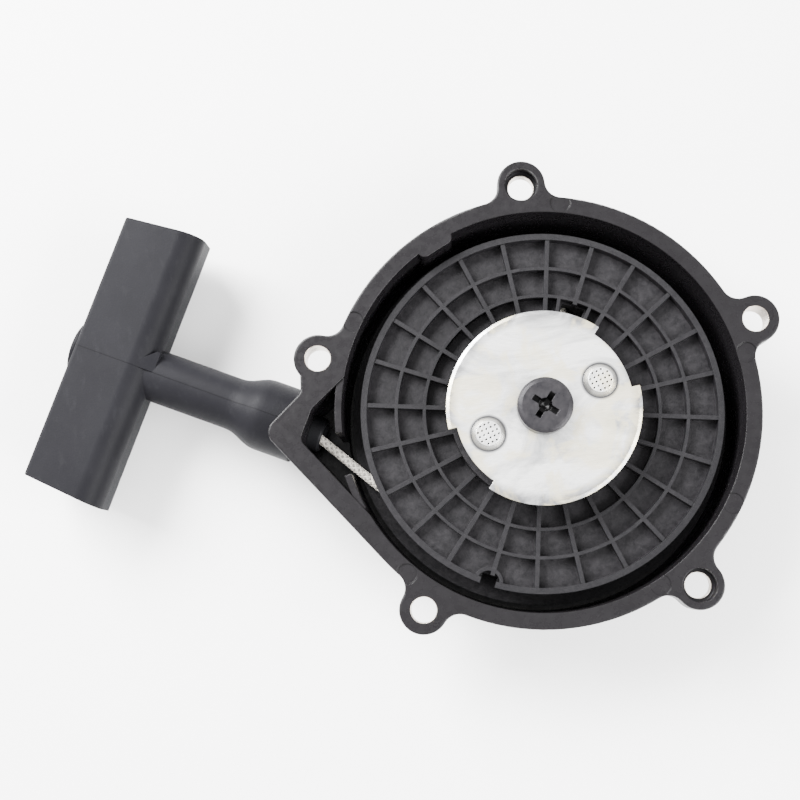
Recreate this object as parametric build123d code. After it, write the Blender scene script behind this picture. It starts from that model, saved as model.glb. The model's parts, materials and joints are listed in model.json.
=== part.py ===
from build123d import *
import os
from math import acos, atan2, cos, degrees, hypot, radians, sin, sqrt

# Recoil starter, in millimetres. The origin is the centre of the bolt circle on the mounting
# face, +Z points out of the open side towards the engine and +Y through the top bolt hole.

# ---- bolt circle and mounting flange
BOLT_CIRCLE_D = 135.0
BOLT_COUNT = 5
BOLT_HOLE_R = 3.75
DOWEL_R = 4.9
DOWEL_DEPTH = 4.0
DOWEL_EARS = (0, 2)
EAR_R = 7.1
EAR_THICKNESS = 7.0
EAR_FILLET = 5.0
FLANGE_WIDTH = 4.8
EDGE_ROUND = 0.5

# ---- housing pan
CHAMBER_R = 58.8
WALL = 3.0
CHAMBER_DEPTH = 29.0
BACK_EDGE_R = 4.0
BACK_RECESS = 1.2
BACK_RIBS = 10
POST_R = 9.0
POST_TOP = -2.5
PIN_MARK_R = 3.0
PIN_MARK_DEPTH = 0.35
PIN_MARKS = ((61.9, 79.8), (61.5, 10.5), (60.9, -31.9), (60.6, -62.0), (62.0, -134.8), (61.2, 149.8))
BULGE_ANGLES = (114.3, 120.9)
BULGE_REACH = 2.24
BULGE_DEPTH = 11.0

# ---- nose that guides the rope
NOSE_PLATE = 3.5
NOSE_RIM = 6.1
NOSE_EDGE_ANGLE = 218.4
NOSE_SHOULDER_ANGLE = 170.8
NOSE_SHOULDER_DISTANCE = 70.9
NOSE_TIP_TURN = 93.0
NOSE_TIP_R = 4.0
NOSE_DEPTH = 27.0
NOSE_WALL = 3.0
GUIDE_WALL = 2.0
GUIDE_UPPER = (160.0, 181.3)
GUIDE_LOWER = (193.4, 204.0)

# ---- pull axis: its direction, its offset from the centre and its height
PULL_ANGLE = 155.0
PULL_OFFSET = 27.9
ROPE_Z = -15.0
NOSE_FACE = 66.5

# ---- rope
ROPE_R = 1.45
WRAP_GAP = 0.1
WRAP_SEAT = 0.05
OUTER_WRAP_R = 47.2
WRAPS = 3
KNOT_ANGLE = 68.0
KNOT_R = 3.3
ROPE_BEND_R = 6.0
LEAD_END_GAP = 3.2
ROPE_CLEARANCE = 0.5
ROPE_HOLE_CLEARANCE = 0.85
EYELET_CLEARANCE = 0.75

# ---- pulley
PULLEY_TOP = -4.6
RIB_DROP = 0.3
WEB_TOP = -8.0
WEB = 2.5
GROOVE_BOTTOM = -17.6
LOWER_FLANGE = 2.0
LOWER_FLANGE_R = 56.8
RIM_R = 53.5
RIM = 1.8
RIB_COUNT = 24
RIB = 1.3
RIB_START = 7.7
RING_RADII = (43.0, 34.7)
RING = 1.0
CORE_WALL = 3.0
TOWER_R = 27.0
TOWER_WALL = 2.4
TOWER_TOP = 2.0
POCKET_FLOOR = -2.4
HUB_WALL = 3.6
NOTCH_ANGLE = -113.0
NOTCH_WIDTH = 4.6
NOTCH_DEPTH = 3.2
UNDER_RIBS = 8

# ---- bush, recoil spring and its cover
BUSH_WALL = 2.0
RUNNING_CLEARANCE = 0.05
SPRING_OUTER_R = 35.6
SPRING_STRIP = 0.7
SPRING_GAP = 0.4
SPRING_WIDTH = 7.0
SPRING_TURNS = 7
SPRING_CHAMBER_R = 36.4
SPRING_CHAMBER_WALL = 2.6
COVER = 0.8
COVER_SCREWS = 3
COVER_SCREW_R = 1.5
COVER_BOSS_R = 3.6

# ---- friction plate, screw, washer and friction spring
PLATE_R = 28.25
PLATE_NOTCH_R = 25.7
PLATE = 1.5
PLATE_BOTTOM = 2.5
PLATE_NOTCHES = ((8.0, 50.5), (188.0, 230.5))
DIMPLE_RADIUS = 17.85
DIMPLE_ANGLE = 20.5
DIMPLE_BASE_R = 4.8
DIMPLE_TOP_R = 3.6
DIMPLE_HEIGHT = 1.5
DIMPLE_HOLLOW_R = 4.0
DIMPLE_HOLLOW = 1.7
DIMPLE_PIT_R = 0.3
DIMPLE_PIT_DEPTH = 0.25
DIMPLE_PIT_PITCH = 1.35
DIMPLE_PIT_FIELD_R = 3.05
PLATE_EDGE_BEVEL = 1.0
PLATE_EDGE_DROP = 0.35
SCREW_HEAD_R = 8.0
SCREW_HEAD = 5.0
SCREW_SHOULDER_R = 5.5
THREAD_R = 4.0
THREAD_LENGTH = 16.0
RECESS_REACH = 4.35
RECESS_ARM = 1.7
RECESS_DEPTH = 2.6
RECESS_TURN = 52.0
WASHER = 1.0
WASHER_OVERLAP = 1.35
FRICTION_WIRE_R = 0.55

# ---- pawls
PAWL = 4.1
PAWL_PIVOT_RADIUS = 19.0
PAWL_PIVOT_ANGLE = 72.0
PAWL_PIN_R = 2.0
PAWL_EYE_R = 4.2
PAWL_PEG_R = 1.3
PAWL_PEG_RADIUS = 15.8
PAWL_PEG_ANGLE = 24.0
PAWL_TIP_RADIUS = 25.2
PAWL_TIP_ANGLE = 11.0
PAWL_WINDOW = (-3.0, 64.0)
PAWL_SPRING_WIRE_R = 0.3

# ---- handle
MOUTH = 67.0
MOUTH_R = 11.0
NECK_END = 114.0
NECK_R = 8.0
NECK_FLARE_START = 89.0
NECK_FLARE_END = 78.0
BAR_WIDTH = 23.6
BAR_HEIGHT = 20.0
BAR_LENGTH = 87.0
BAR_TAPER = 2.2
BAR_SHOULDER_R = 7.0
GUSSET_REACH = 6.4
CAP_R = 9.0
CAP_HEIGHT = 1.6
KNOT_POCKET_R = 6.4
KNOT_POCKET_DEPTH = 16.0
HANDLE_KNOT_R = 4.4
HANDLE_KNOT_LENGTH = 8.0

# ---- eyelet
EYELET_BODY_R = 4.2
EYELET_FLANGE_R = 5.2
EYELET_FLANGE = 4.0
EYELET_COLLAR = 1.4

# ---- worked out from the sizes above
BOLT_R = BOLT_CIRCLE_D / 2
EAR_ANGLES = [90.0 - index * 360.0 / BOLT_COUNT for index in range(BOLT_COUNT)]
FLANGE_R = CHAMBER_R + FLANGE_WIDTH
BARREL_R = CHAMBER_R + WALL
FLOOR_Z = -CHAMBER_DEPTH
BACK_Z = FLOOR_Z - WALL
WEB_BOTTOM = WEB_TOP - WEB
LOWER_FACE = GROOVE_BOTTOM - LOWER_FLANGE
WRAP_PITCH = 2 * ROPE_R + WRAP_GAP
ROPE_HOLE_R = ROPE_R + ROPE_HOLE_CLEARANCE
EYELET_BORE_R = ROPE_R + EYELET_CLEARANCE
CORE_WRAP_R = OUTER_WRAP_R - WRAPS * WRAP_PITCH
CORE_R = CORE_WRAP_R - ROPE_R - WRAP_SEAT
BUSH_IN = POST_R + RUNNING_CLEARANCE
BUSH_OUT = BUSH_IN + BUSH_WALL
HUB_R = BUSH_OUT + HUB_WALL
WASHER_R = BUSH_OUT + WASHER_OVERLAP
HUB_FOOT = FLOOR_Z + 0.8
PLATE_TOP = PLATE_BOTTOM + PLATE
SCREW_TOP = PLATE_TOP + SCREW_HEAD
BAR_END = NECK_END + BAR_WIDTH
SPRING_BASE = FLOOR_Z + SPRING_GAP
COVER_TOP = SPRING_BASE + SPRING_WIDTH + SPRING_GAP + COVER
PAWL_BASE = POCKET_FLOOR + 0.15
PULL_DIR = Vector(cos(radians(PULL_ANGLE)), sin(radians(PULL_ANGLE)), 0)
SIDE_DIR = Vector(sin(radians(PULL_ANGLE)), -cos(radians(PULL_ANGLE)), 0)
BOTTOM = (Align.CENTER, Align.CENTER, Align.MIN)


def polar(radius, angle, z=0.0):
    return Vector(radius * cos(radians(angle)), radius * sin(radians(angle)), z)


def pull_point(along, across=0.0):
    """A point at a distance along the pull axis and across it, at the rope's height."""
    flat = PULL_DIR * along + SIDE_DIR * (across - PULL_OFFSET)
    return Vector(flat.X, flat.Y, ROPE_Z)


# Local frame of the pull axis: local z runs along the axis, local x is up, local y is across.
PULL_FRAME = Location(Plane(origin=pull_point(0), x_dir=(0, 0, 1), z_dir=PULL_DIR))


def disc(radius, low, high):
    return Pos(0, 0, low) * Cylinder(radius, high - low, align=BOTTOM)


def ring(inner, outer, low, high):
    return disc(outer, low, high) - disc(inner, low, high)


def prism(points, low, high):
    face = Face(Wire.make_polygon([(x, y, low) for x, y in points]))
    return extrude(face, amount=high - low, dir=(0, 0, 1))


def raised(outline, low, high):
    """Upright block over a flat outline."""
    return Pos(0, 0, low) * extrude(outline, amount=high - low, dir=(0, 0, 1))


def turned(points):
    """Solid of revolution about Z from (radius, height) points."""
    face = Face(Wire.make_polygon([(radius, 0, height) for radius, height in points]))
    return revolve(face, Axis.Z, 360)


def sector(inner, outer, low, high, start, end):
    """Part of a ring between two angles in degrees."""
    corners = [(inner, 0, low), (outer, 0, low), (outer, 0, high), (inner, 0, high)]
    face = Rot(0, 0, start) * Face(Wire.make_polygon(corners))
    return revolve(face, Axis.Z, end - start)


def bar_between(start, end, width, low, high):
    """Straight upright wall of one width between two points in plan."""
    length = hypot(end.X - start.X, end.Y - start.Y)
    angle = degrees(atan2(end.Y - start.Y, end.X - start.X))
    middle = (start + end) * 0.5
    box = Box(length, width, high - low, align=BOTTOM)
    return Pos(middle.X, middle.Y, low) * Rot(0, 0, angle) * box


def tube(path, radius):
    section = Plane(origin=path @ 0, z_dir=path % 0) * Circle(radius)
    return sweep(section, path=path)


def whole(shape):
    """The one solid of a fused shape."""
    return shape.solids().sort_by(SortBy.VOLUME)[-1]


# ---- housing


def nose_corners():
    """Corners of the nose plate: its tip, its shoulder and where its long edge meets the flange."""
    edge_end = polar(FLANGE_R, NOSE_EDGE_ANGLE)
    shoulder = polar(NOSE_SHOULDER_DISTANCE, NOSE_SHOULDER_ANGLE)
    edge_dir = polar(1, NOSE_EDGE_ANGLE - 90)
    side_dir = polar(1, NOSE_EDGE_ANGLE - 90 - 180 + NOSE_TIP_TURN)
    gap = shoulder - edge_end
    turn = edge_dir.X * side_dir.Y - edge_dir.Y * side_dir.X
    along = (gap.X * side_dir.Y - gap.Y * side_dir.X) / turn
    return edge_end + edge_dir * along, shoulder, edge_end


def nose_plate_outline():
    tip, shoulder, edge_end = nose_corners()
    ear = polar(BOLT_R, EAR_ANGLES[4])
    ear_side = ear + Vector(-EAR_R * 0.78, -EAR_R * 0.62)
    corners = [tip, shoulder, ear_side, ear, polar(BARREL_R - 1, 180), edge_end * 0.97, edge_end]
    outline = Polygon(*[(point.X, point.Y) for point in corners], align=None)
    outline = round_corner(outline, tip, NOSE_TIP_R)
    return round_corner(outline, shoulder, NOSE_TIP_R / 2)


def round_corner(sketch, point, radius):
    """Fillet the one vertex of a sketch that lies nearest to a point."""
    near = sketch.vertices().sort_by(lambda v: hypot(v.X - point.X, v.Y - point.Y))
    return fillet(near[0], radius)


def ear_outline():
    """Round flange with its five ears, blended where they meet."""
    outline = Sketch() + Circle(FLANGE_R)
    centres = [polar(BOLT_R, angle) for angle in EAR_ANGLES]
    for centre in centres:
        outline += Pos(centre.X, centre.Y) * Circle(EAR_R)
    corners = []
    for vertex in outline.vertices():
        on_rim = abs(hypot(vertex.X, vertex.Y) - FLANGE_R) < 0.01
        on_ear = min(abs(hypot(vertex.X - c.X, vertex.Y - c.Y) - EAR_R) for c in centres) < 0.01
        if on_rim and on_ear:
            corners.append(vertex)
    return fillet(corners, EAR_FILLET)


def nose_body():
    """Solid block under the nose plate that carries the eyelet."""
    inset = FLANGE_R - BARREL_R
    edge_dir = polar(1, NOSE_EDGE_ANGLE - 90)
    edge_start = polar(BARREL_R, NOSE_EDGE_ANGLE)
    reach = (NOSE_FACE - edge_start.dot(PULL_DIR)) / edge_dir.dot(PULL_DIR)
    low_corner = edge_start + edge_dir * reach
    high_corner = pull_point(NOSE_FACE, MOUTH_R)
    join = polar(BARREL_R, EAR_ANGLES[4] - inset)
    points = [edge_start, low_corner, high_corner, join, polar(BARREL_R / 2, 190)]
    outline = Polygon(*[(point.X, point.Y) for point in points], align=None)
    outline = round_corner(outline, low_corner, NOSE_WALL)
    return raised(outline, -NOSE_DEPTH, -NOSE_PLATE / 2)


def nose_pocket():
    """Hollow of the nose, open to the chamber and to the mounting face."""
    inner_edge = FLANGE_R - NOSE_RIM
    spread = degrees(acos(inner_edge / CHAMBER_R))
    edge_dir = polar(1, NOSE_EDGE_ANGLE - 90)
    edge_start = polar(CHAMBER_R, NOSE_EDGE_ANGLE - spread)
    wall_face = NOSE_FACE - NOSE_WALL
    reach = (wall_face - edge_start.dot(PULL_DIR)) / edge_dir.dot(PULL_DIR)
    low_corner = edge_start + edge_dir * reach
    high_corner = pull_point(wall_face, EYELET_FLANGE_R)
    top = polar(CHAMBER_R - 0.3, 165.0)
    inside = polar(CHAMBER_R * 0.9, 185)
    points = [edge_start, low_corner, high_corner, top, inside]
    outline = Polygon(*[(point.X, point.Y) for point in points], align=None)
    outline = round_corner(outline, low_corner, NOSE_WALL)
    outline = round_corner(outline, high_corner, NOSE_WALL)
    return raised(outline, WALL - NOSE_DEPTH, 1)


def back_pattern():
    """Shallow ribbed recess in the closed back."""
    inner, outer = BARREL_R * 0.36, BARREL_R * 0.84
    recess = ring(inner, outer, BACK_Z - 1, BACK_Z + BACK_RECESS)
    for index in range(BACK_RIBS):
        angle = index * 360 / BACK_RIBS
        recess -= bar_between(polar(inner - 1, angle), polar(outer + 1, angle), WALL,
                              BACK_Z - 2, BACK_Z + 2)
    return recess


def make_casting():
    """The whole casting but for the two guide walls."""
    flange = raised(ear_outline(), -EAR_THICKNESS, 0)
    plate = raised(nose_plate_outline(), -NOSE_PLATE, 0)
    barrel = turned([(0, BACK_Z), (BARREL_R - BACK_EDGE_R, BACK_Z),
                     (BARREL_R - BACK_EDGE_R * 0.3, BACK_Z + BACK_EDGE_R * 0.3),
                     (BARREL_R, BACK_Z + BACK_EDGE_R), (BARREL_R, -1), (0, -1)])
    body = flange + plate + barrel + nose_body()
    top_edges = body.faces().sort_by(Axis.Z)[-1].outer_wire().edges()
    body = fillet(top_edges, EDGE_ROUND)
    body -= disc(CHAMBER_R, FLOOR_Z, 1)
    body -= nose_pocket()
    body -= PULL_FRAME * disc(EYELET_FLANGE_R + 0.2, MOUTH - NOSE_RIM - EYELET_FLANGE,
                              NOSE_FACE - NOSE_WALL)
    body += sector(CHAMBER_R - BULGE_REACH, CHAMBER_R + 0.5, -BULGE_DEPTH, 0, *BULGE_ANGLES)
    for angle in BULGE_ANGLES:
        centre = polar(CHAMBER_R, angle)
        body += Pos(centre.X, centre.Y, 0) * disc(BULGE_REACH, -BULGE_DEPTH, 0)
    body -= back_pattern()
    body += disc(POST_R, FLOOR_Z - 0.5, POST_TOP)
    body += spring_chamber()
    body -= disc(THREAD_R, POST_TOP - THREAD_LENGTH - 2, POST_TOP + 1)
    body -= PULL_FRAME * disc(EYELET_BODY_R, NOSE_FACE - 3 * NOSE_WALL, NOSE_FACE + 1)
    for index, angle in enumerate(EAR_ANGLES):
        centre = polar(BOLT_R, angle)
        body -= Pos(centre.X, centre.Y, 0) * disc(BOLT_HOLE_R, -EAR_THICKNESS - 1, 1)
        if index in DOWEL_EARS:
            body -= Pos(centre.X, centre.Y, 0) * disc(DOWEL_R, -DOWEL_DEPTH, 1)
    for radius, angle in PIN_MARKS:
        centre = polar(radius, angle)
        body -= Pos(centre.X, centre.Y, 0) * disc(PIN_MARK_R, -PIN_MARK_DEPTH, 1)
    return whole(body)


def flange_level():
    """Block that holds all of the casting at the level of the mounting ears but for the centre post."""
    block = Pos(0, 0, -EAR_THICKNESS) * Box(4 * FLANGE_R, 4 * FLANGE_R, 2 * EAR_THICKNESS, align=BOTTOM)
    return block - disc(HUB_R, -EAR_THICKNESS - 1, EAR_THICKNESS + 1)


def make_mounting_flange(casting):
    """Ring, ears and nose plate, down to the ears' lower face."""
    return whole(casting & flange_level())


def make_housing(casting):
    """Pan of the casting below the ears' lower face, with the two guide walls up to the top."""
    body = casting - flange_level()
    for start, end in (GUIDE_UPPER, GUIDE_LOWER):
        body += sector(CHAMBER_R, CHAMBER_R + GUIDE_WALL, FLOOR_Z - 0.5, -EDGE_ROUND, start, end) - casting
    return whole(body)


def cover_screw_places():
    reach = SPRING_CHAMBER_R + COVER_BOSS_R
    return [polar(reach, 30 + index * 360 / COVER_SCREWS) for index in range(COVER_SCREWS)]


def spring_chamber():
    """Round wall on the floor that holds the recoil spring, with bosses for the cover screws."""
    outer = SPRING_CHAMBER_R + SPRING_CHAMBER_WALL
    top = COVER_TOP - COVER
    wall = disc(outer, FLOOR_Z - 0.5, top)
    for place in cover_screw_places():
        wall += Pos(place.X, place.Y, 0) * disc(COVER_BOSS_R, FLOOR_Z - 0.5, top)
    wall -= disc(SPRING_CHAMBER_R, FLOOR_Z - 1, top + 1)
    hook = polar(SPRING_CHAMBER_R + SPRING_CHAMBER_WALL / 2, 0)
    wall -= Pos(hook.X, hook.Y, FLOOR_Z) * Box(SPRING_CHAMBER_WALL + 2, 2.4, top + 1 - FLOOR_Z, align=BOTTOM)
    for place in cover_screw_places():
        wall -= Pos(place.X, place.Y, 0) * disc(COVER_SCREW_R, FLOOR_Z + 1, top + 1)
    return wall


# ---- recoil spring and cover


def make_recoil_spring():
    """Flat strip wound in half rings, hooked to the hub inside and to the chamber outside."""
    low = SPRING_BASE
    high = SPRING_BASE + SPRING_WIDTH
    inner_start = HUB_R + 0.6
    halves = SPRING_TURNS * 2
    step = (SPRING_OUTER_R - SPRING_STRIP - inner_start) / halves
    strip = None
    shift = 0.0
    radius = SPRING_OUTER_R - SPRING_STRIP
    for index in range(halves):
        side = 1 if index % 2 == 0 else -1
        half = sector(radius, radius + SPRING_STRIP, low, high, 0 if side > 0 else 180,
                      180 if side > 0 else 360)
        half = Pos(shift, 0, 0) * half
        strip = half if strip is None else strip + half
        shift -= side * step
        radius -= step
    outer_x = SPRING_OUTER_R - SPRING_STRIP / 2
    hook = Pos(outer_x + 1.6, -SPRING_STRIP / 2, low) * Box(3.9, SPRING_STRIP, SPRING_WIDTH, align=BOTTOM)
    inner_x = shift + radius + SPRING_STRIP / 2
    tongue = Pos(inner_x - 0.9, -SPRING_STRIP / 2, low) * Box(2.5, SPRING_STRIP, SPRING_WIDTH,
                                                          align=BOTTOM)
    return whole(strip + hook + tongue)


def make_spring_cover():
    outer = SPRING_CHAMBER_R + SPRING_CHAMBER_WALL
    low = COVER_TOP - COVER
    cover = disc(outer, low, COVER_TOP)
    for place in cover_screw_places():
        cover += Pos(place.X, place.Y, 0) * disc(COVER_BOSS_R, low, COVER_TOP)
    cover -= disc(HUB_R + 0.8, low - 1, COVER_TOP + 1)
    for place in cover_screw_places():
        cover -= Pos(place.X, place.Y, 0) * disc(COVER_SCREW_R + 0.2, low - 1, COVER_TOP + 1)
    return whole(cover)


def make_cover_screws():
    """Three low flat head screws that hold the spring cover."""
    screws = []
    for place in cover_screw_places():
        screw = disc(COVER_SCREW_R * 1.9, COVER_TOP, COVER_TOP + 0.6)
        screw += disc(COVER_SCREW_R, FLOOR_Z + 2, COVER_TOP + 0.1)
        screw -= Pos(0, 0, COVER_TOP + 0.5) * Box(4, 0.7, 0.5)
        screws.append(Pos(place.X, place.Y, 0) * screw)
    return Compound(children=screws)


# ---- pulley


def knot_centre():
    """The knot bears on the inner face of the core wall."""
    reach = CORE_R - CORE_WALL - KNOT_R
    return polar(reach, KNOT_ANGLE, ROPE_Z) + polar(1, KNOT_ANGLE + 90) * (ROPE_BEND_R / 2)


def inner_rope_path():
    """The coil's inner end: a bend off the last wrap, inwards to the knot."""
    start = polar(CORE_WRAP_R, KNOT_ANGLE, ROPE_Z)
    bend = ROPE_BEND_R / 2
    outward = polar(1, KNOT_ANGLE)
    forward = polar(1, KNOT_ANGLE + 90)
    centre = start - outward * bend
    middle = centre + (outward + forward) * (bend / sqrt(2))
    finish = centre + forward * bend
    return [ThreePointArc(start, middle, finish), Line(finish, knot_centre() + outward * (KNOT_R / 2))]


def make_moulding():
    """Rope drum and hub tower of the pulley in one."""
    body = ring(BUSH_OUT, RIM_R, WEB_BOTTOM, WEB_TOP)
    body += ring(RIM_R - RIM, RIM_R, WEB_BOTTOM, PULLEY_TOP)
    body += ring(CORE_R - CORE_WALL, CORE_R, GROOVE_BOTTOM - 0.1, WEB_BOTTOM + 0.1)
    body += ring(CORE_R - CORE_WALL, LOWER_FLANGE_R, LOWER_FACE, GROOVE_BOTTOM)
    body += ring(BUSH_OUT, HUB_R, HUB_FOOT, POST_TOP - 0.1)
    rib_top = PULLEY_TOP - RIB_DROP
    for radius in RING_RADII:
        body += ring(radius - RING / 2, radius + RING / 2, WEB_TOP - 0.1, rib_top)
    ribs = [Rot(0, 0, RIB_START + index * 360 / RIB_COUNT) * rib_blank(rib_top)
            for index in range(RIB_COUNT)]
    body += ribs
    body += tower()
    for index in range(UNDER_RIBS):
        angle = KNOT_ANGLE + (index + 0.5) * 360 / UNDER_RIBS
        body += bar_between(polar(HUB_R - 0.5, angle), polar(CORE_R - 0.5, angle), RIB,
                            GROOVE_BOTTOM, WEB_BOTTOM + 0.1)
    body += rope_notch_wall(rib_top)
    body -= rope_notch()
    body += knot_walls(rib_top)
    body -= knot_window()
    for piece in inner_rope_path():
        body -= tube(piece, ROPE_R + ROPE_CLEARANCE)
    body -= spring_slot()
    body -= pawl_seats()
    return whole(body)


def tower_space():
    """Everything above the web and inside the tower's outer wall."""
    return disc(TOWER_R, WEB_TOP, TOWER_TOP + 1)


def make_pulley(moulding):
    """Rope drum with its ribbed face."""
    return whole(moulding - tower_space())


def make_pulley_hub(moulding):
    """Tower on the web, with the pawl pockets."""
    return whole(moulding & tower_space())


def rib_blank(top):
    inner, outer = TOWER_R - 0.5, RIM_R - RIM / 2
    middle = (inner + outer) / 2
    return Pos(middle, 0, WEB_TOP - 0.1) * Box(outer - inner, RIB, top - WEB_TOP + 0.1, align=BOTTOM)


def tower():
    """Hub tower with two open pockets for the pawls."""
    body = ring(HUB_R - 0.5, TOWER_R, WEB_TOP - 0.1, TOWER_TOP)
    body -= disc(TOWER_R - TOWER_WALL, POCKET_FLOOR, TOWER_TOP + 1)
    body -= ring(HUB_R, TOWER_R - TOWER_WALL, WEB_BOTTOM - 1, POCKET_FLOOR - 2.4)
    for side in (0, 180):
        start, end = PAWL_WINDOW
        body -= sector(TOWER_R - TOWER_WALL - 1, TOWER_R + 1, POCKET_FLOOR, TOWER_TOP + 1,
                       side + start, side + end)
        seat = polar(PAWL_PIVOT_RADIUS, side + PAWL_PIVOT_ANGLE)
        lift = Pos(seat.X, seat.Y, 0)
        body += lift * disc(PAWL_EYE_R + 1, WEB_TOP - 0.1, POCKET_FLOOR)
    return body


def pawl_seats():
    """Pin holes of the pawls and the grooves round them for the pawl springs."""
    cuts = []
    for side in (0, 180):
        seat = polar(PAWL_PIVOT_RADIUS, side + PAWL_PIVOT_ANGLE)
        lift = Pos(seat.X, seat.Y, 0)
        cuts.append(lift * disc(PAWL_PIN_R, WEB_TOP + 0.5, POCKET_FLOOR + 1))
        cuts.append(lift * disc(PAWL_PIN_R + 1.7, POCKET_FLOOR - 2.6, POCKET_FLOOR + 1))
    return cuts


def rope_notch_wall(top):
    """Half-round wall round the rope notch at the rim."""
    centre = polar(RIM_R - 1, NOTCH_ANGLE)
    wall = Pos(centre.X, centre.Y, 0) * ring(NOTCH_WIDTH * 0.72, NOTCH_WIDTH * 0.95, WEB_TOP - 0.1, top)
    return wall & disc(RIM_R - 0.5, WEB_BOTTOM, PULLEY_TOP)


def rope_notch():
    angle = NOTCH_ANGLE
    return bar_between(polar(RIM_R - NOTCH_DEPTH, angle), polar(RIM_R + 2, angle), NOTCH_WIDTH,
                       WEB_BOTTOM - 1, PULLEY_TOP + 1)


def knot_walls(top):
    """Two short walls beside the knot window."""
    walls = []
    for angle in (KNOT_ANGLE - 8, KNOT_ANGLE + 8):
        walls.append(bar_between(polar(TOWER_R - 0.5, angle), polar(RING_RADII[1], angle), RING,
                                 WEB_TOP - 0.1, top))
    return walls


def knot_window():
    """Opening in the web above the knot."""
    return sector(TOWER_R + 1.2, RING_RADII[1] - 1.2, WEB_BOTTOM - 1, PULLEY_TOP + 1,
                  KNOT_ANGLE - 6, KNOT_ANGLE + 6)


def spring_slot():
    """Slot in the hub's foot for the recoil spring's inner hook."""
    high = SPRING_BASE + SPRING_WIDTH + 0.4
    middle = HUB_R - HUB_WALL / 2
    return Pos(middle + 1, -SPRING_STRIP / 2, HUB_FOOT - 1) * Box(HUB_WALL - 0.8, SPRING_STRIP + 0.8,
                                                                 high - HUB_FOOT + 1, align=BOTTOM)


def make_pulley_bush():
    return ring(BUSH_IN, BUSH_OUT, HUB_FOOT, POST_TOP - 0.1)


# ---- rope


def lead_geometry():
    """Bend point in the eyelet, tangent point on the outer wrap and its angle."""
    bend = pull_point(NOSE_FACE - NOSE_WALL)
    distance = hypot(bend.X, bend.Y)
    bend_angle = degrees(atan2(bend.Y, bend.X)) % 360
    touch_angle = bend_angle + degrees(acos(OUTER_WRAP_R / distance))
    return bend, polar(OUTER_WRAP_R, touch_angle, ROPE_Z), touch_angle


def coil_path():
    """Tangent half circles, each one half a pitch smaller, then the last wrap on the core."""
    step = WRAP_PITCH / 2
    angle = lead_geometry()[2]
    centre = polar(-step / 2, angle, ROPE_Z)
    radius = OUTER_WRAP_R + step / 2
    edges = []
    for index in range(2 * WRAPS):
        centre = centre + polar(step, angle)
        radius -= step
        edges.append(ThreePointArc(*[centre + polar(radius, angle + turn) for turn in (0, 90, 180)]))
        angle += 180
    last = (KNOT_ANGLE - angle) % 360
    edges.append(ThreePointArc(*[polar(CORE_WRAP_R, angle + last * part, ROPE_Z) for part in (0, 0.5, 1)]))
    return edges


def make_rope_coil():
    """All wraps in the groove and the end that reaches the knot."""
    path = Wire(coil_path() + inner_rope_path())
    return tube(path, ROPE_R).solids()[0]


def make_pulley_knot():
    centre = knot_centre()
    knot = Pos(centre.X, centre.Y, centre.Z) * Sphere(KNOT_R)
    return whole(knot - tube(inner_rope_path()[1], ROPE_R))


def make_rope_lead():
    """Rope from the eyelet's throat to just short of the outer wrap."""
    bend, touch, touch_angle = lead_geometry()
    first = pull_point(NOSE_FACE - NOSE_WALL + 1.6)
    out = (touch - bend).normalized()
    spare = sqrt((OUTER_WRAP_R + LEAD_END_GAP) ** 2 - OUTER_WRAP_R ** 2)
    last = touch - out * spare
    path = FilletPolyline(first, bend, last, radius=ROPE_BEND_R)
    return tube(path, ROPE_R).solids()[0]


def make_rope_draw():
    """Straight rope from the eyelet through the neck to the knot in the grip."""
    start = NOSE_FACE - NOSE_WALL + 1.6
    end = knot_seat() + HANDLE_KNOT_LENGTH / 2
    return (PULL_FRAME * disc(ROPE_R, start, end)).solids()[0]


def knot_seat():
    return BAR_END - KNOT_POCKET_DEPTH + WASHER


# ---- eyelet


def make_eyelet():
    """Moulded guide bush with a flared mouth on the chamber side."""
    inner_face = NOSE_FACE - NOSE_WALL
    mouth = inner_face - EYELET_FLANGE
    profile = [(EYELET_BORE_R, inner_face), (EYELET_BORE_R + 0.35, inner_face - 1.6),
               (EYELET_BORE_R + 1.0, mouth + 0.9), (EYELET_BORE_R + 1.9, mouth),
               (EYELET_FLANGE_R - 0.5, mouth), (EYELET_FLANGE_R, mouth + 0.6),
               (EYELET_FLANGE_R, inner_face), (EYELET_BODY_R, inner_face),
               (EYELET_BODY_R, NOSE_FACE), (EYELET_FLANGE_R, NOSE_FACE),
               (EYELET_FLANGE_R, NOSE_FACE + EYELET_COLLAR - 0.4),
               (EYELET_FLANGE_R - 0.4, NOSE_FACE + EYELET_COLLAR),
               (EYELET_BORE_R + 0.6, NOSE_FACE + EYELET_COLLAR),
               (EYELET_BORE_R, NOSE_FACE + EYELET_COLLAR - 0.8)]
    return whole(PULL_FRAME * turned(profile))


# ---- pawls


def pawl_points():
    pivot = polar(PAWL_PIVOT_RADIUS, PAWL_PIVOT_ANGLE)
    peg = polar(PAWL_PEG_RADIUS, PAWL_PEG_ANGLE)
    tip = polar(PAWL_TIP_RADIUS, PAWL_TIP_ANGLE)
    return pivot, peg, tip


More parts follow.
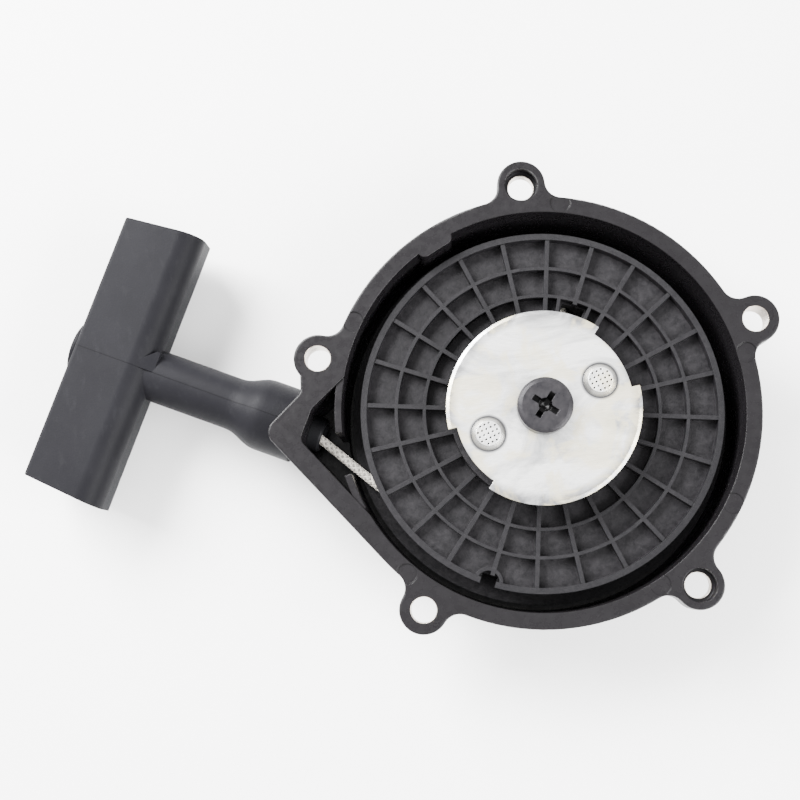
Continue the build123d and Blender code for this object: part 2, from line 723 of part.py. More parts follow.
def make_pawl(side):
    """Curved lever with an eye, a driving nose and a guide peg."""
    pivot, peg, tip = pawl_points()
    low, high = PAWL_BASE, PAWL_BASE + PAWL
    nose_in = tip - polar(4.2, PAWL_TIP_ANGLE + 12)
    back = polar(PAWL_TIP_RADIUS - 0.8, 30)
    waist = polar(PAWL_TIP_RADIUS - 2.6, 52)
    belly = polar(PAWL_PEG_RADIUS - 2.4, 26)
    root = polar(PAWL_PIVOT_RADIUS - 4.4, 58)
    arm = prism([(p.X, p.Y) for p in (tip, back, waist, pivot, root, belly, nose_in)], low, high)
    eye = Pos(pivot.X, pivot.Y, 0) * disc(PAWL_EYE_R, low, high)
    hole = Pos(pivot.X, pivot.Y, 0) * disc(PAWL_PIN_R + RUNNING_CLEARANCE, low - 1, high + 1)
    guide = Pos(peg.X, peg.Y, 0) * disc(PAWL_PEG_R, high - 0.1, PLATE_BOTTOM + DIMPLE_HOLLOW - 0.4)
    return Rot(0, 0, side) * whole(arm + eye + guide - hole)


def make_pawl_pins():
    pins = []
    for side in (0, 180):
        seat = polar(PAWL_PIVOT_RADIUS, side + PAWL_PIVOT_ANGLE)
        pins.append(Pos(seat.X, seat.Y, 0) * disc(PAWL_PIN_R, WEB_TOP + 0.5, PAWL_BASE + PAWL))
    return Compound(children=pins)


def make_pawl_spring(side):
    """Torsion spring round the pin, under the pawl."""
    seat = polar(PAWL_PIVOT_RADIUS, PAWL_PIVOT_ANGLE)
    coil_r = PAWL_PIN_R + 0.85
    low = POCKET_FLOOR - 2.2
    coil = Helix(pitch=0.7, height=1.75, radius=coil_r)
    section = Plane(origin=coil @ 0, z_dir=coil % 0) * Circle(PAWL_SPRING_WIRE_R)
    body = sweep(section, path=coil, is_frenet=True)
    return Rot(0, 0, side) * (Pos(seat.X, seat.Y, low) * body).solids()[0]


# ---- friction plate and its fittings


def dimple_pits(angle):
    """Square grid of small pits on a dimple's flat top, clipped to a circle."""
    pits = []
    for row in range(-2, 3):
        for column in range(-2, 3):
            place = (row * DIMPLE_PIT_PITCH, column * DIMPLE_PIT_PITCH)
            if hypot(*place) < DIMPLE_PIT_FIELD_R:
                top = PLATE_TOP + DIMPLE_HEIGHT
                pits.append(Rot(0, 0, angle) * Pos(*place, 0) * disc(DIMPLE_PIT_R, top - DIMPLE_PIT_DEPTH, top + 1))
    return pits


def make_friction_plate():
    """Round plate with a bevelled rim, two notches and two raised dimples."""
    body = turned([(0, PLATE_BOTTOM), (PLATE_R, PLATE_BOTTOM), (PLATE_R, PLATE_TOP - PLATE_EDGE_DROP),
                   (PLATE_R - PLATE_EDGE_BEVEL, PLATE_TOP), (0, PLATE_TOP)])
    for start, end in PLATE_NOTCHES:
        body -= sector(PLATE_NOTCH_R, PLATE_R + 1, PLATE_BOTTOM - 1, PLATE_TOP + 1, start, end)
    for side in (0, 180):
        centre = polar(DIMPLE_RADIUS, DIMPLE_ANGLE + side)
        place = Pos(centre.X, centre.Y, 0)
        body += place * turned([(0, PLATE_TOP - 0.1), (DIMPLE_BASE_R, PLATE_TOP - 0.1),
                                (DIMPLE_BASE_R, PLATE_TOP), (DIMPLE_TOP_R, PLATE_TOP + DIMPLE_HEIGHT),
                                (0, PLATE_TOP + DIMPLE_HEIGHT)])
        body -= place * disc(DIMPLE_HOLLOW_R, PLATE_BOTTOM - 1, PLATE_BOTTOM + DIMPLE_HOLLOW)
        body -= [place * pit for pit in dimple_pits(DIMPLE_ANGLE)]
    body -= disc(SCREW_SHOULDER_R + RUNNING_CLEARANCE, PLATE_BOTTOM - 1, PLATE_TOP + 1)
    return whole(body)


def make_thrust_washer():
    return ring(SCREW_SHOULDER_R + RUNNING_CLEARANCE, WASHER_R, POST_TOP, POST_TOP + WASHER)


def make_friction_spring():
    """Compression spring that presses the plate up against the screw head."""
    low = POST_TOP + WASHER + FRICTION_WIRE_R + 0.05
    high = PLATE_BOTTOM - FRICTION_WIRE_R - 0.05
    turns = 2.5
    radius = SCREW_SHOULDER_R + 2.2
    coil = Helix(pitch=(high - low) / turns, height=high - low, radius=radius)
    section = Plane(origin=coil @ 0, z_dir=coil % 0) * Circle(FRICTION_WIRE_R)
    body = sweep(section, path=coil, is_frenet=True)
    return (Pos(0, 0, low) * body).solids()[0]


def make_centre_screw():
    """Shouldered pan head screw with a cross recess."""
    chamfer_size = 0.7
    body = turned([(0, PLATE_TOP), (SCREW_HEAD_R, PLATE_TOP), (SCREW_HEAD_R, SCREW_TOP - chamfer_size),
                   (SCREW_HEAD_R - chamfer_size, SCREW_TOP - 0.2),
                   (SCREW_HEAD_R - 2 * chamfer_size, SCREW_TOP), (0, SCREW_TOP)])
    body += disc(SCREW_SHOULDER_R, POST_TOP, PLATE_TOP + 0.1)
    body += disc(THREAD_R - 0.05, POST_TOP - THREAD_LENGTH, POST_TOP + 0.1)
    bottom = SCREW_TOP - RECESS_DEPTH
    for turn in (0, 90):
        half = RECESS_ARM / 2
        face = Face(Wire.make_polygon([(-RECESS_REACH * 0.45, 0, bottom), (RECESS_REACH * 0.45, 0, bottom),
                                       (RECESS_REACH, 0, SCREW_TOP + 0.1),
                                       (-RECESS_REACH, 0, SCREW_TOP + 0.1)]))
        arm = extrude(face, amount=half, dir=(0, 1, 0), both=True)
        body -= Rot(0, 0, RECESS_TURN + turn) * arm
    core = turned([(0, bottom - 0.6), (RECESS_ARM * 0.7, bottom), (RECESS_ARM * 1.2, SCREW_TOP + 0.1),
                   (0, SCREW_TOP + 0.1)])
    return whole(body - core)


# ---- handle


def neck_profile():
    """Outer side of the neck: straight from the bar, then a short flare to the mouth."""
    flare = Spline((MOUTH_R, 0, NECK_FLARE_END), (NECK_R, 0, NECK_FLARE_START), tangents=[(0, 0, 1), (0, 0, 1)])
    lines = [Line((0, 0, MOUTH), (MOUTH_R, 0, MOUTH)), Line((MOUTH_R, 0, MOUTH), (MOUTH_R, 0, NECK_FLARE_END)),
             flare, Line((NECK_R, 0, NECK_FLARE_START), (NECK_R, 0, NECK_END + 8)),
             Line((NECK_R, 0, NECK_END + 8), (0, 0, NECK_END + 8)),
             Line((0, 0, NECK_END + 8), (0, 0, MOUTH))]
    return Face(Wire(lines))


def grip_bar():
    """Cross bar, slightly longer on the neck side, with soft shoulders towards the neck."""
    long_half = BAR_LENGTH / 2
    short_half = long_half - BAR_TAPER
    outline = [(NECK_END, -long_half), (NECK_END, long_half), (BAR_END, short_half),
               (BAR_END, -short_half)]
    wire = Wire.make_polygon([(-BAR_HEIGHT / 2, across, along) for along, across in outline])
    bar = extrude(Face(wire), amount=BAR_HEIGHT, dir=(1, 0, 0))
    shoulders = [edge for edge in bar.edges()
                 if abs(edge.center().Z - NECK_END) < 0.01 and abs(abs(edge.center().X) - BAR_HEIGHT / 2) < 0.01]
    bar = fillet(shoulders, BAR_SHOULDER_R)
    outer = [edge for edge in bar.edges() if edge.center().Z > BAR_END - 0.01]
    return fillet(outer, EDGE_ROUND * 2)


def gusset():
    """Small three-cornered web on top of the neck's root, on one side of the parting line."""
    start = NECK_END - 1.0
    end = NECK_END + GUSSET_REACH
    profile = [(0, start), (NECK_R - 0.1, start), (BAR_HEIGHT / 2 - 0.1, end), (0, end)]
    wire = Wire.make_polygon([(up, 0, along) for up, along in profile])
    web = extrude(Face(wire), amount=GUSSET_REACH, dir=(0, 1, 0))
    plan = [(start, -1), (start, GUSSET_REACH), (NECK_END, GUSSET_REACH), (end, 0), (end, -1)]
    wire = Wire.make_polygon([(-1, across, along) for along, across in plan])
    return web & extrude(Face(wire), amount=BAR_HEIGHT, dir=(1, 0, 0))


def make_handle_grip():
    neck = revolve(neck_profile(), Axis.Z, 360)
    body = grip_bar() + neck + gusset()
    bore_start = MOUTH + 8
    body -= turned([(0, MOUTH - 1), (MOUTH_R - 2.5, MOUTH - 1), (MOUTH_R - 3.0, MOUTH + 3),
                    (ROPE_HOLE_R, bore_start), (ROPE_HOLE_R, BAR_END + 1), (0, BAR_END + 1)])
    body -= disc(KNOT_POCKET_R, BAR_END - KNOT_POCKET_DEPTH, BAR_END + 1)
    return whole(PULL_FRAME * whole(body))


def make_handle_washer():
    low = BAR_END - KNOT_POCKET_DEPTH
    return whole(PULL_FRAME * ring(ROPE_R + 0.15, KNOT_POCKET_R - 0.3, low, low + WASHER))


def make_handle_knot():
    low = knot_seat()
    high = low + HANDLE_KNOT_LENGTH
    knot = disc(HANDLE_KNOT_R, low, high)
    knot = fillet(knot.edges().filter_by(GeomType.CIRCLE), HANDLE_KNOT_R * 0.6)
    knot -= disc(ROPE_R, low - 1, low + HANDLE_KNOT_LENGTH / 2)
    return whole(PULL_FRAME * knot)


def make_handle_cap():
    plug = disc(KNOT_POCKET_R - 0.05, BAR_END - 4.0, BAR_END + 0.1)
    head = disc(CAP_R, BAR_END, BAR_END + CAP_HEIGHT)
    head = fillet(head.edges().filter_by(GeomType.CIRCLE).sort_by(Axis.Z)[-1], CAP_HEIGHT * 0.6)
    return whole(PULL_FRAME * (plug + head))


def main():
    os.makedirs("parts", exist_ok=True)
    casting = make_casting()
    moulding = make_moulding()
    parts = {
        "housing": make_housing(casting),
        "mounting_flange": make_mounting_flange(casting),
        "rope_eyelet": make_eyelet(),
        "recoil_spring": make_recoil_spring(),
        "spring_cover": make_spring_cover(),
        "cover_screws": make_cover_screws(),
        "pulley": make_pulley(moulding),
        "pulley_hub": make_pulley_hub(moulding),
        "pulley_bush": make_pulley_bush(),
        "rope_coil": make_rope_coil(),
        "rope_pulley_knot": make_pulley_knot(),
        "rope_lead": make_rope_lead(),
        "rope_draw": make_rope_draw(),
        "pawl_a": make_pawl(0),
        "pawl_b": make_pawl(180),
        "pawl_pins": make_pawl_pins(),
        "pawl_spring_a": make_pawl_spring(0),
        "pawl_spring_b": make_pawl_spring(180),
        "friction_plate": make_friction_plate(),
        "friction_spring": make_friction_spring(),
        "thrust_washer": make_thrust_washer(),
        "centre_screw": make_centre_screw(),
        "handle_grip": make_handle_grip(),
        "handle_washer": make_handle_washer(),
        "handle_knot": make_handle_knot(),
        "handle_cap": make_handle_cap(),
    }
    for name, shape in parts.items():
        export_step(shape, f"parts/{name}.step")


main()
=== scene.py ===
import json
import math

import bmesh
import bpy
from mathutils import Matrix, Vector


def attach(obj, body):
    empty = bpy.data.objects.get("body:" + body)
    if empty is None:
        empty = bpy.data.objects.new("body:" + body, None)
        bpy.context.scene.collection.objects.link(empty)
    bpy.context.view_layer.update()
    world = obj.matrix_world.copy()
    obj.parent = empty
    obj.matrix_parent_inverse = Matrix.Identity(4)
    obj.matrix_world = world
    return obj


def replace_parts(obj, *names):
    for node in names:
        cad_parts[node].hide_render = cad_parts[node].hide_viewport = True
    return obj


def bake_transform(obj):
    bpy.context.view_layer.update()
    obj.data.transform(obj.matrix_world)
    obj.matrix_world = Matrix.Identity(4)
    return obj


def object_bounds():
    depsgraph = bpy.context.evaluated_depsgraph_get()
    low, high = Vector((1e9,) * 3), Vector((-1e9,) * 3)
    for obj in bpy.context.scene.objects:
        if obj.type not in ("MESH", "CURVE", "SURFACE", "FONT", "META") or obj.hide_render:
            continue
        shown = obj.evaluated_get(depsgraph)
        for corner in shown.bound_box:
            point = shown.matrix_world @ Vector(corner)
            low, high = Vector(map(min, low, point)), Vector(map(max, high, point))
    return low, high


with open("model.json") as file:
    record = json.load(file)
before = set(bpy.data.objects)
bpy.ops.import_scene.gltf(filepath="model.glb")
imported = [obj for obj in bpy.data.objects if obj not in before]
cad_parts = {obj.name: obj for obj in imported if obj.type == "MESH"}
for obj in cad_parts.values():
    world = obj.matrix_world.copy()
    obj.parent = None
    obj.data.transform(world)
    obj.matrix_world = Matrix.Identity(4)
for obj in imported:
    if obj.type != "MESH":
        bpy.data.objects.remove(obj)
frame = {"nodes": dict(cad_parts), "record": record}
cad_low, cad_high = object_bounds()

MM = 0.001
NODES = frame["nodes"]
JOINTS = {joint["name"]: joint for joint in frame["record"]["behaviour"]["joints"]}
MOUNTS = {mount["name"]: mount for mount in frame["record"]["mounts"]}
FLOOR_Z = cad_low.z

# ------------------------------------------------ camera and light

CAMERA_TURNS = (("X", -5.86), ("Y", -0.86), ("Z", 5.10))
CAMERA_OFFSET_MM = (30.0, 14.8, -348.3)
CAMERA_LENS = 54
CAMERA_SHIFT = (-0.05, 0.075)
SKY_STRENGTH = 2.15
LIGHT_TARGET = (-0.04, 0.0, 0.0)
LIGHTS = (
    ("key", (-0.55, 0.55, 0.62), (0.7, 0.5), 72.0),
    ("fill", (0.70, -0.45, 0.60), (0.8, 0.6), 38.0),
)
FLOOR_HALF = 3.0
FLOOR_GAP = 0.0002

# ------------------------------------------------ sizes shared with the CAD nodes, in millimetres

PULL_DIR = Vector(JOINTS["handle_pull"]["axis"]).normalized()
SIDE_DIR = Vector((PULL_DIR.y, -PULL_DIR.x, 0))
PULL_OFFSET = 27.9
ROPE_Z = -15.0
ROPE_R = 1.45
WRAP_R = 47.2
ROPE_BEND_R = 6.0
LEAD_END_GAP = 3.2
EYELET_INNER_FACE = 63.5
ROPE_JOIN = EYELET_INNER_FACE + 1.6
NECK_THROAT = 76.0
DRAW_END = 125.6

DOWEL_EARS = (0, 2)
HOLE_SLACK = 0.12
PLATE_R = 28.25
PULLEY_TOP = -4.6
DIMPLE_RADIUS = 17.85
DIMPLE_ANGLE = 20.5
DIMPLE_BASE_R = 4.8
DIMPLE_TOP_R = 3.6
DIMPLE_TOP = 5.5
PIT_DEPTH = 0.25
PLATE_TOP = 4.0
SCREW_TOP = 9.0
CROSS_REACH = 5.2


# ------------------------------------------------ camera, light and floor


def make_camera():
    """Looks down on the open side, a little from the lower right of the starter."""
    offset = Vector(CAMERA_OFFSET_MM) * MM
    to_camera = Matrix.Identity(3)
    for axis, angle in CAMERA_TURNS:
        to_camera = to_camera @ Matrix.Rotation(math.radians(angle), 3, axis)
    data = bpy.data.cameras.new("camera")
    data.sensor_width = 36
    data.lens = CAMERA_LENS
    data.shift_x, data.shift_y = CAMERA_SHIFT
    data.clip_start = 0.01
    camera = bpy.data.objects.new("camera", data)
    bpy.context.scene.collection.objects.link(camera)
    back = to_camera.transposed()
    camera.matrix_world = Matrix.Translation(-(back @ offset)) @ back.to_4x4()
    bpy.context.scene.camera = camera


def area_light(name, place, size, power):
    """Soft rectangular light that faces the starter."""
    data = bpy.data.lights.new(name, "AREA")
    data.shape = "RECTANGLE"
    data.size, data.size_y = size
    data.energy = power
    light = bpy.data.objects.new(name, data)
    bpy.context.scene.collection.objects.link(light)
    light.location = place
    light.rotation_euler = (Vector(LIGHT_TARGET) - Vector(place)).to_track_quat("-Z", "Y").to_euler()


def make_lights():
    world = bpy.data.worlds.new("studio")
    bpy.context.scene.world = world
    world.use_nodes = True
    sky = world.node_tree.nodes["Background"]
    sky.inputs["Color"].default_value = (1.0, 1.0, 1.0, 1.0)
    sky.inputs["Strength"].default_value = SKY_STRENGTH
    for name, place, size, power in LIGHTS:
        area_light(name, place, size, power)


def make_floor():
    mesh = bpy.data.meshes.new("floor")
    low = FLOOR_Z - FLOOR_GAP
    signs = ((-1, -1), (1, -1), (1, 1), (-1, 1))
    corners = [(x * FLOOR_HALF, y * FLOOR_HALF, low) for x, y in signs]
    mesh.from_pydata(corners, [], [(0, 1, 2, 3)])
    floor = bpy.data.objects.new("floor", mesh)
    bpy.context.scene.collection.objects.link(floor)
    material, tree, shader = new_material("pale_floor")
    shader.inputs["Base Color"].default_value = (0.96, 0.96, 0.96, 1)
    shader.inputs["Roughness"].default_value = 0.7
    floor.data.materials.append(material)


# ------------------------------------------------ node helpers


def new_material(name):
    material = bpy.data.materials.new(name)
    material.use_nodes = True
    tree = material.node_tree
    return material, tree, tree.nodes["Principled BSDF"]


def add(tree, kind, props=None, **sockets):
    """One shader node. A socket's value is a number, a colour or another node's output."""
    made = tree.nodes.new(kind)
    for key, value in (props or {}).items():
        setattr(made, key, value)
    for name, value in sockets.items():
        socket = made.inputs[int(name[1:])] if name[0] == "i" and name[1:].isdigit() else made.inputs[name]
        if isinstance(value, bpy.types.NodeSocket):
            tree.links.new(value, socket)
        else:
            socket.default_value = value
    return made


def maths(tree, operation, first, second=0.0, third=0.0):
    return add(tree, "ShaderNodeMath", {"operation": operation}, i0=first, i1=second, i2=third).outputs[0]


def place_mm(tree):
    """Position in the row frame, in millimetres."""
    where = add(tree, "ShaderNodeTexCoord").outputs["Object"]
    return add(tree, "ShaderNodeVectorMath", {"operation": "SCALE"}, i0=where, Scale=1000.0).outputs[0]


def height_of(tree, where):
    return add(tree, "ShaderNodeSeparateXYZ", None, Vector=where).outputs["Z"]


def flattened(tree, where):
    """The position with its height left out."""
    flat = add(tree, "ShaderNodeVectorMath", {"operation": "MULTIPLY"}, i0=where, i1=(1.0, 1.0, 0.0))
    return flat.outputs[0]


def axis_distance(tree, where):
    flat = flattened(tree, where)
    return add(tree, "ShaderNodeVectorMath", {"operation": "LENGTH"}, i0=flat).outputs["Value"]


def nearest_distance(tree, where, radius, angles):
    """Distance across the face to the nearest of the points at a radius and the given angles."""
    flat = flattened(tree, where)
    nearest = None
    for angle in angles:
        turn = math.radians(angle)
        centre = (radius * math.cos(turn), radius * math.sin(turn), 0)
        gap = add(tree, "ShaderNodeVectorMath", {"operation": "DISTANCE"}, i0=flat, i1=centre)
        gap = gap.outputs["Value"]
        nearest = gap if nearest is None else maths(tree, "MINIMUM", nearest, gap)
    return nearest


def all_of(tree, *masks):
    """1 where every mask is 1."""
    made = masks[0]
    for mask in masks[1:]:
        made = maths(tree, "MULTIPLY", made, mask)
    return made


def noise(tree, where, scale, detail=3.0, roughness=0.5, distortion=0.0):
    made = add(tree, "ShaderNodeTexNoise", None, Vector=where, Scale=scale, Detail=detail,
               Roughness=roughness, Distortion=distortion)
    return made.outputs["Fac"]


def stretched(tree, where, x, y, z):
    return add(tree, "ShaderNodeMapping", None, Vector=where, Scale=(x, y, z)).outputs[0]


def ramp(tree, factor, stops):
    """Grey or colour ramp. stops are (position, value) or (position, colour)."""
    made = add(tree, "ShaderNodeValToRGB", None, Fac=factor)
    ends = made.color_ramp.elements
    while len(ends) < len(stops):
        ends.new(0.5)
    for element, (position, value) in zip(ends, stops):
        element.position = position
        element.color = (value, value, value, 1) if isinstance(value, float) else (*value, 1)
    return made.outputs["Color"]


def mixed(tree, factor, first, second):
    made = tree.nodes.new("ShaderNodeMix")
    made.data_type = "RGBA"
    for index, value in ((0, factor), (6, first), (7, second)):
        socket = made.inputs[index]
        if isinstance(value, bpy.types.NodeSocket):
            tree.links.new(value, socket)
        elif index == 0:
            socket.default_value = value
        else:
            socket.default_value = (*value, 1)
    return made.outputs[2]


def bump(tree, shader, height, distance, strength, normal=None):
    """Fine relief, with its full depth in millimetres."""
    made = add(tree, "ShaderNodeBump", None, Strength=strength, Distance=distance * MM, Height=height)
    if normal is not None:
        tree.links.new(normal, made.inputs["Normal"])
    tree.links.new(made.outputs["Normal"], shader.inputs["Normal"])


def soft_edges(tree, radius):
    """Normal that rounds the corners by a radius in millimetres."""
    return add(tree, "ShaderNodeBevel", {"samples": 4}, Radius=radius * MM).outputs["Normal"]


# ------------------------------------------------ materials


def hole_mask(tree, where, radius, ears):
    """1 inside a radius round the chosen ears' holes and below the rim's face, else 0."""
    circle = MOUNTS["bolt_circle"]["dims"]
    angles = [90 - 360 / circle["count"] * ear for ear in ears]
    nearest = nearest_distance(tree, where, circle["pcd_mm"] / 2, angles)
    inside = maths(tree, "LESS_THAN", nearest, radius)
    return all_of(tree, inside, maths(tree, "LESS_THAN", height_of(tree, where), 0.5))


def painted_casting():
    """Semi-gloss black paint on a die casting, bare alloy in the drilled holes."""
    material, tree, shader = new_material("black_painted_casting")
    where = place_mm(tree)
    circle = MOUNTS["bolt_circle"]["dims"]
    recess = MOUNTS["dowel_recess_top"]["dims"]
    bolts = hole_mask(tree, where, circle["hole_r_mm"] + HOLE_SLACK, range(circle["count"]))
    recesses = hole_mask(tree, where, recess["r_mm"] + HOLE_SLACK, DOWEL_EARS)
    shallow = maths(tree, "GREATER_THAN", height_of(tree, where), 0.3 - recess["length_mm"])
    painted = all_of(tree, recesses, shallow)
    bare = all_of(tree, bolts, maths(tree, "SUBTRACT", 1.0, painted))
    cloud = noise(tree, where, 0.06, 4.0)
    grain = noise(tree, where, 1.6, 4.0, 0.6)
    specks = ramp(tree, noise(tree, where, 2.6, 2.0), [(0.66, 0.0), (0.74, 1.0)])
    paint = mixed(tree, cloud, (0.0036, 0.0032, 0.0037), (0.0076, 0.0069, 0.0078))
    shader.inputs["Specular IOR Level"].default_value = 0.17
    paint = mixed(tree, maths(tree, "MULTIPLY", specks, 0.25), paint, (0.04, 0.036, 0.040))
    colour = mixed(tree, bare, paint, mixed(tree, grain, (0.46, 0.40, 0.34), (0.66, 0.59, 0.51)))
    tree.links.new(colour, shader.inputs["Base Color"])
    gloss = ramp(tree, noise(tree, where, 0.35, 5.0, 0.6), [(0.3, 0.2), (0.7, 0.38)])
    tree.links.new(gloss, shader.inputs["Roughness"])
    tree.links.new(bare, shader.inputs["Metallic"])
    bump(tree, shader, grain, 0.06, 0.6, soft_edges(tree, 0.5))
    return material


def glass_filled_nylon():
    """Matte dark grey moulding with a mottled skin. The rib tops carry painted shade, darker and more
    even.
    """
    material, tree, shader = new_material("glass_filled_nylon")
    where = place_mm(tree)
    height = height_of(tree, where)
    # The rib tops lie in the last millimetre below the pulley's upper face.
    ribs = ramp(tree, maths(tree, "MULTIPLY_ADD", height, 0.25, 2.35), [(0.94, 0.0), (1.0, 1.0)])
    ribs = all_of(tree, ribs, maths(tree, "LESS_THAN", height, PULLEY_TOP + 0.6))
    mottle = noise(tree, where, 0.5, 6.0, 0.7, 0.4)
    fibres = noise(tree, stretched(tree, where, 1.0, 3.4, 1.0), 2.0, 3.0, 0.6)
    base = mixed(tree, ramp(tree, mottle, [(0.35, 0.0), (0.7, 1.0)]), (0.0036, 0.0033, 0.0041),
                 (0.0150, 0.0140, 0.0155))
    base = mixed(tree, ramp(tree, fibres, [(0.62, 0.0), (0.75, 1.0)]), base, (0.034, 0.032, 0.033))
    shader.inputs["Specular IOR Level"].default_value = 0.12
    # Painted shade: the rib tops are darkened against the light they catch, patchy through a noise.
    rib_top_shade = ramp(tree, noise(tree, where, 0.8, 4.0), [(0.3, 0.35), (0.7, 1.0)])
    rib_top_shade = maths(tree, "MULTIPLY", ribs, rib_top_shade)
    colour = mixed(tree, rib_top_shade, base, (0.0058, 0.0055, 0.0064))
    tree.links.new(colour, shader.inputs["Base Color"])
    tree.links.new(ramp(tree, mottle, [(0.3, 0.46), (0.7, 0.66)]), shader.inputs["Roughness"])
    bump(tree, shader, maths(tree, "ADD", fibres, mottle), 0.12, 0.7, soft_edges(tree, 0.22))
    return material


def dimple_painted_shade(tree, where, base):
    """Painted shade in the creases round the friction plate's two dimples, on their flanks and in the pits
    in their tops.
    """
    height = height_of(tree, where)
    nearest = nearest_distance(tree, where, DIMPLE_RADIUS, (DIMPLE_ANGLE, DIMPLE_ANGLE + 180))
    # Painted shade: a dark ring along the crease at each dimple's foot.
    crease = maths(tree, "ABSOLUTE", maths(tree, "SUBTRACT", nearest, DIMPLE_BASE_R + 0.1))
    base = mixed(tree, ramp(tree, crease, [(0.15, 1.0), (0.9, 0.0)]), base, (0.06, 0.06, 0.065))
    # Painted shade: the flanks a little darker.
    flank = all_of(tree, maths(tree, "GREATER_THAN", nearest, DIMPLE_TOP_R),
                   maths(tree, "LESS_THAN", nearest, DIMPLE_BASE_R))
    base = mixed(tree, maths(tree, "MULTIPLY", flank, 0.7), base, (0.20, 0.195, 0.18))
    # Painted shade: the pits coloured dark.
    pits = all_of(tree, maths(tree, "LESS_THAN", height, DIMPLE_TOP - 0.03),
                  maths(tree, "GREATER_THAN", height, DIMPLE_TOP - PIT_DEPTH - 0.15),
                  maths(tree, "LESS_THAN", nearest, DIMPLE_TOP_R - 0.2))
    return mixed(tree, pits, base, (0.012, 0.011, 0.010))


def zinc_plate(name="bright_zinc", stain=0.7, dimpled=True):
    """Bright zinc plate on rolled steel, with a soft grain, grey clouds, faint yellow patches and a
    painted dark reflection near the rim.
    """
    material, tree, shader = new_material(name)
    where = place_mm(tree)
    patches = noise(tree, where, 0.09, 4.0, 0.6, 0.8)
    clouds = noise(tree, stretched(tree, where, 0.5, 1.0, 1.0), 0.055, 5.0, 0.62, 1.2)
    rolled = noise(tree, stretched(tree, where, 0.15, 2.5, 0.6), 2.2, 4.0, 0.6)
    spots = ramp(tree, noise(tree, where, 1.1, 3.0), [(0.63, 0.0), (0.75, 1.0)])
    clouds = ramp(tree, clouds, [(0.36, 1.0), (0.55, 0.0)])
    base = mixed(tree, clouds, (0.93, 0.93, 0.92), (0.40, 0.405, 0.41))
    # Painted reflection: a dark band towards the outer edge, broken up by the patches noise.
    rim = maths(tree, "MULTIPLY", axis_distance(tree, where), 1.0 / PLATE_R)
    rim = ramp(tree, rim, [(0.87, 0.0), (0.955, 1.0)])
    rim = maths(tree, "MULTIPLY", rim, ramp(tree, patches, [(0.38, 0.35), (0.58, 1.0)]))
    base = mixed(tree, rim, base, (0.10, 0.10, 0.11))
    yellow = maths(tree, "MULTIPLY", ramp(tree, patches, [(0.50, 0.0), (0.60, 1.0)]), stain)
    base = mixed(tree, yellow, base, (0.86, 0.79, 0.58))
    base = mixed(tree, maths(tree, "MULTIPLY", spots, 0.35), base, (0.50, 0.50, 0.50))
    if dimpled:
        # Painted shade round the dimples and in their pits.
        base = dimple_painted_shade(tree, where, base)
    tree.links.new(base, shader.inputs["Base Color"])
    shader.inputs["Metallic"].default_value = 0.75
    tree.links.new(ramp(tree, rolled, [(0.25, 0.2), (0.75, 0.4)]), shader.inputs["Roughness"])
    bump(tree, shader, rolled, 0.03, 0.7, soft_edges(tree, 0.3))
    return material


def black_oxide():
    """Blackened steel, a little paler where handling has rubbed it, with painted shade inside the screw's
    recess.
    """
    material, tree, shader = new_material("black_oxide_steel")
    where = place_mm(tree)
    rub = noise(tree, where, 0.5, 5.0, 0.65)
    base = mixed(tree, rub, (0.009, 0.009, 0.011), (0.030, 0.028, 0.030))
    height = height_of(tree, where)
    # Painted shade: the screw's cross recess is coloured near black.
    recess = all_of(tree, maths(tree, "LESS_THAN", axis_distance(tree, where), CROSS_REACH),
                    maths(tree, "LESS_THAN", height, SCREW_TOP - 0.25),
                    maths(tree, "GREATER_THAN", height, PLATE_TOP))
    base = mixed(tree, recess, base, (0.0012, 0.0011, 0.0013))
    tree.links.new(base, shader.inputs["Base Color"])
    shader.inputs["Metallic"].default_value = 0.4
    shader.inputs["Specular IOR Level"].default_value = 0.2
    tree.links.new(ramp(tree, rub, [(0.3, 0.26), (0.7, 0.44)]), shader.inputs["Roughness"])
    bump(tree, shader, noise(tree, where, 2.2, 4.0), 0.03, 0.5, soft_edges(tree, 0.25))
    return material


def spring_steel():
    """Oiled blue-grey strip and wire, drawn along its length."""
    material, tree, shader = new_material("oiled_spring_steel")
    where = place_mm(tree)
    drawn = noise(tree, stretched(tree, where, 1.0, 1.0, 6.0), 1.4, 4.0, 0.6)
    tree.links.new(mixed(tree, drawn, (0.16, 0.17, 0.20), (0.36, 0.36, 0.38)), shader.inputs["Base Color"])
    shader.inputs["Metallic"].default_value = 1.0
    tree.links.new(ramp(tree, drawn, [(0.3, 0.22), (0.7, 0.4)]), shader.inputs["Roughness"])
    bump(tree, shader, drawn, 0.01, 0.4)
    return material


def sintered_bronze():
    """Porous oil-filled bush metal."""
    material, tree, shader = new_material("sintered_bronze")
    where = place_mm(tree)
    pores = noise(tree, where, 4.0, 3.0, 0.7)
    tree.links.new(mixed(tree, pores, (0.30, 0.17, 0.08), (0.62, 0.42, 0.22)), shader.inputs["Base Color"])
    shader.inputs["Metallic"].default_value = 1.0
    tree.links.new(ramp(tree, pores, [(0.3, 0.3), (0.7, 0.55)]), shader.inputs["Roughness"])
    bump(tree, shader, pores, 0.03, 0.5)
    return material


